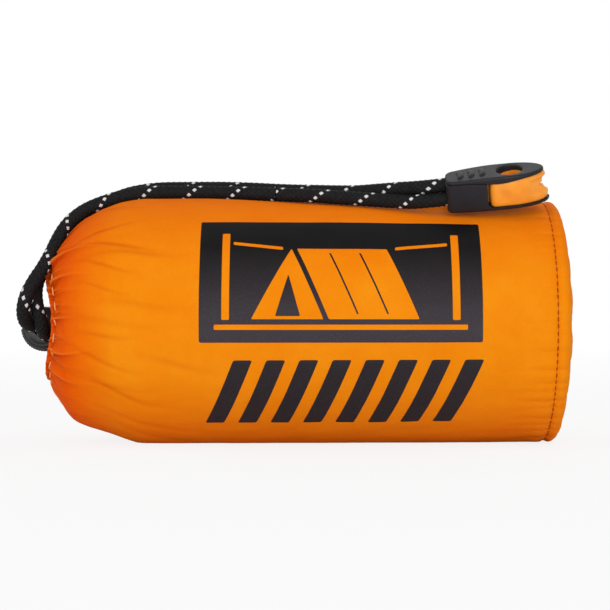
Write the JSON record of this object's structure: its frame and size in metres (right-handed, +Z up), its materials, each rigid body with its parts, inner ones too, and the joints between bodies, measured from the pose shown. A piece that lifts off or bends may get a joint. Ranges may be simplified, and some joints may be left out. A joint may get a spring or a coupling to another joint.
{
  "type": "emergency tube tent in a drawstring sack",
  "caption": "Emergency tube tent rolled in a soft nylon drawstring sack, closed by a doubled black cord with a round cord lock and a whistle at its end.",
  "frame": {"origin": "on the resting surface, below the middle of the sack", "axes": "+X along the sack from the gathered mouth to the round base, +Y to the rear, +Z up"},
  "size_m": [0.1637, 0.0748, 0.0834],
  "materials": {
    "sack": "satin coated nylon",
    "tent": "coated nylon",
    "cord": "braided, with white flecks",
    "ridge_line": "braided",
    "lock": "satin",
    "button": "satin",
    "steel": "bright wire",
    "housing": "matte",
    "whistle": "satin"
  },
  "bodies": {
    "sack": {"sack_body": "sack", "sack_base": "sack", "seam_tape": "sack", "mouth_channel": "sack", "tent_roll": "tent", "ridge_line_hank": "ridge_line", "drawcord_channel_run": "cord", "drawcord_front_neck": "cord", "drawcord_front_end": "cord", "drawcord_rear_neck": "cord", "drawcord_rear_end": "cord"},
    "cord_lock": {"lock_body": "lock", "lock_spring": "steel"},
    "button": {"lock_button": "button"},
    "whistle": {"whistle_base": "housing", "whistle_cover": "housing", "whistle_core": "whistle", "cord_end_knot": "cord"}
  },
  "joints": [
    {"name": "lock_slide", "type": "slide", "parent": "sack", "child": "cord_lock", "axis": [-1, 0, 0], "range_m": [0, 0.006], "deforming": ["drawcord_front_neck", "drawcord_rear_neck"]},
    {"name": "lock_press", "type": "slide", "parent": "cord_lock", "child": "button", "axis": [0.6393, -0.0672, 0.766], "range_m": [0, 0.0012], "stiffness_N_per_m": 400, "springref_m": -0.0015, "deforming": ["lock_spring"]},
    {"name": "whistle_lift", "type": "hinge", "parent": "sack", "child": "whistle", "pos_m": [0.024, -0.0148, 0.0728], "axis": [0, -0.9026, -0.4305], "range_deg": [0, 70], "deforming": ["drawcord_front_end", "drawcord_rear_end"]}
  ]
}
